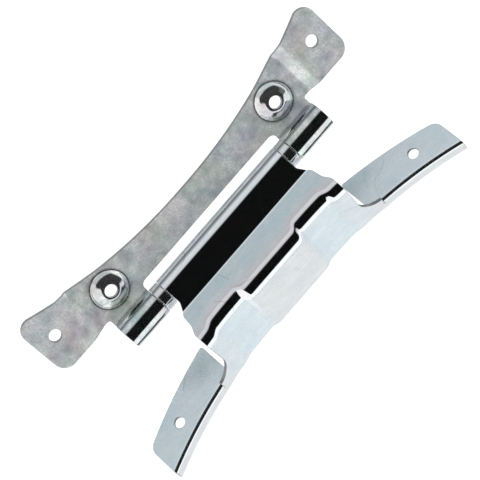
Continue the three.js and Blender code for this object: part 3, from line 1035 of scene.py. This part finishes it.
def turned_steel(name, light, dark, rough):
    """Steel turned on a lathe: fine rings round the pin."""
    made, tree, shader, node = material(name)
    place = node("ShaderNodeTexCoord").outputs["Object"]
    rings = node("ShaderNodeMapping", {"Vector": place, "Scale": (0.02, 0.02, 1)}).outputs[0]
    ring = noise(node, rings, RING_SCALE, 3, 0.6)
    mottle = spread(node, noise(node, place, STEEL_SCALE, 4, 0.6), 0.3, 0.7, 0, 1)
    tree.links.new(mix_colours(tree, mottle, (*dark, 1), (*light, 1)), shader.inputs["Base Color"])
    tree.links.new(spread(node, ring, 0.3, 0.7, *rough), shader.inputs["Roughness"])
    bump = node("ShaderNodeBump", {"Height": ring, "Strength": 0.1, "Distance": 0.00002})
    tree.links.new(bump.outputs[0], shader.inputs["Normal"])
    shader.inputs["Metallic"].default_value = 1
    return made


# --- Pieces ------------------------------------------------------------------------------

cabinet_zinc = zinc(
    "cabinet_zinc",
    light=(0.92, 0.93, 0.91),
    dark=(0.46, 0.5, 0.52),
    rough=(0.36, 0.5),
    smooth=0.08,
    iridescence=0.13,
    drawn=0.1,
    matte=0.42,
)
door_zinc = zinc(
    "door_zinc",
    light=(0.93, 0.94, 0.95),
    dark=(0.78, 0.82, 0.86),
    rough=(0.26, 0.31),
    smooth=0.04,
    iridescence=0.08,
    drawn=0.6,
    matte=0,
)
pin_steel = turned_steel("pin_steel", (0.6, 0.6, 0.59), (0.45, 0.45, 0.45), (0.2, 0.35))
bush_steel = turned_steel("bush_steel", (0.8, 0.8, 0.82), (0.64, 0.64, 0.66), (0.06, 0.14))


def fit(piece, finish, body, node_name):
    piece.data.materials.append(finish)
    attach(piece, body)
    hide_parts(node_name)


fit(cabinet_leaf(), cabinet_zinc, "cabinet", "cabinet_leaf")
fit(hinge_pin(), pin_steel, "cabinet", "hinge_pin")
fit(door_leaf(), door_zinc, "door", "door_leaf")
fit(bush("upper_bush_turned", 1), bush_steel, "door", "upper_bush")
fit(bush("lower_bush_turned", -1), bush_steel, "door", "lower_bush")

# --- Studio ------------------------------------------------------------------------------

CAMERA_AZIMUTH = -22
CAMERA_ELEVATION = -1.5
CAMERA_ROLL = 41
CAMERA_DISTANCE = 0.9
CAMERA_LENS = 164.6
CENTRE_RIGHT = 8.8
CENTRE_DOWN = 0.8
FLOOR_HALF = 1.1
FLOOR_DROP = 0.6


def direction(azimuth, elevation):
    """From the object towards a place in the room: azimuth 0 is -Y, and 90 is +X."""
    a, e = math.radians(azimuth), math.radians(elevation)
    return Vector((math.sin(a) * math.cos(e), -math.cos(a) * math.cos(e), math.sin(e)))


def camera():
    data = bpy.data.cameras.new("camera")
    made = bpy.data.objects.new("camera", data)
    bpy.context.scene.collection.objects.link(made)
    back = direction(CAMERA_AZIMUTH, CAMERA_ELEVATION)
    right = Vector((0, 0, 1)).cross(back).normalized()
    target = Vector(pin_place * MM) + right * CENTRE_RIGHT * MM - Vector((0, 0, CENTRE_DOWN * MM))
    made.location = target + back * CAMERA_DISTANCE
    turn = (-back).to_track_quat("-Z", "Y") @ Quaternion((0, 0, 1), math.radians(CAMERA_ROLL))
    made.rotation_mode = "QUATERNION"
    made.rotation_quaternion = turn
    data.lens = CAMERA_LENS
    data.sensor_width = 36
    data.clip_start, data.clip_end = 0.05, 60
    bpy.context.scene.camera = made


def floor():
    mesh = bpy.data.meshes.new("floor")
    corners = [(x * FLOOR_HALF, y * FLOOR_HALF, 0) for x, y in ((-1, -1), (1, -1), (1, 1), (-1, 1))]
    mesh.from_pydata(corners, [], [(0, 1, 2, 3)])
    made = bpy.data.objects.new("floor", mesh)
    made.location.z = cad_box[0].z - FLOOR_DROP
    bpy.context.scene.collection.objects.link(made)
    pale, tree, shader, node = material("floor_paper")
    place = node("ShaderNodeTexCoord").outputs["Object"]
    fibre = noise(node, place, PAPER_SCALE, 2, 0.5)
    paper = mix_colours(tree, fibre, (0.93, 0.93, 0.93, 1), (0.95, 0.95, 0.95, 1))
    tree.links.new(paper, shader.inputs["Base Color"])
    shader.inputs["Roughness"].default_value = 0.9
    shader.inputs["Specular IOR Level"].default_value = 0.1
    made.data.materials.append(pale)


# What mirrored rays see: brightness by azimuth in degrees, and two caps above and below
CAP_LEVEL = 1.15
CAP_START = 0.75
CAP_FULL = 0.95
ROOM_LEVEL = 1.2
PANELS = [
    (-180, 1.05),
    (-125, 1.05),
    (-115, 0.2),
    (-98, 0.2),
    (-82, 0.56),
    (-76, 0.8),
    (-48, 0.78),
    (-36, 0.004),
    (37, 0.004),
    (43, 1.2),
    (78, 1.2),
    (90, 0.86),
    (180, 0.86),
]


def room():
    """The light: an even white room, in which mirrored rays see panels with dark gaps instead."""
    world = bpy.data.worlds.new("room")
    bpy.context.scene.world = world
    world.use_nodes = True
    tree = world.node_tree
    tree.nodes.clear()
    node = node_maker(tree)
    way = node("ShaderNodeTexCoord").outputs["Generated"]
    parts = node("ShaderNodeSeparateXYZ", {0: way}).outputs
    back = node("ShaderNodeMath", {0: parts[1], 1: -1}, operation="MULTIPLY").outputs[0]
    turn = node("ShaderNodeMath", {0: parts[0], 1: back}, operation="ARCTAN2").outputs[0]
    share = node(
        "ShaderNodeMapRange", {"Value": turn, "From Min": -math.pi, "From Max": math.pi}
    ).outputs["Result"]
    ramp = node("ShaderNodeValToRGB", {0: share})
    stops = ramp.color_ramp.elements
    while len(stops) > 1:
        stops.remove(stops[-1])
    for number, (azimuth, level) in enumerate(PANELS):
        stop = stops[0] if number == 0 else stops.new((azimuth + 180) / 360)
        stop.position = (azimuth + 180) / 360
        stop.color = (level * 0.97, level, level * 1.01, 1)
    height = node("ShaderNodeMath", {0: parts[2]}, operation="ABSOLUTE").outputs[0]
    lift = node(
        "ShaderNodeMapRange",
        {"Value": height, "From Min": CAP_START, "From Max": CAP_FULL},
        interpolation_type="SMOOTHSTEP",
    ).outputs["Result"]
    around = mix_colours(tree, lift, ramp.outputs[0], (CAP_LEVEL, CAP_LEVEL, CAP_LEVEL, 1))
    mirrored = node("ShaderNodeLightPath").outputs["Is Glossy Ray"]
    shown = mix_colours(tree, mirrored, (ROOM_LEVEL, ROOM_LEVEL, ROOM_LEVEL, 1), around)
    light = node("ShaderNodeBackground", {0: shown, 1: 1.0})
    out = node("ShaderNodeOutputWorld")
    tree.links.new(light.outputs[0], out.inputs[0])


camera()
floor()
room()
bpy.context.scene.view_settings.view_transform = "Standard"
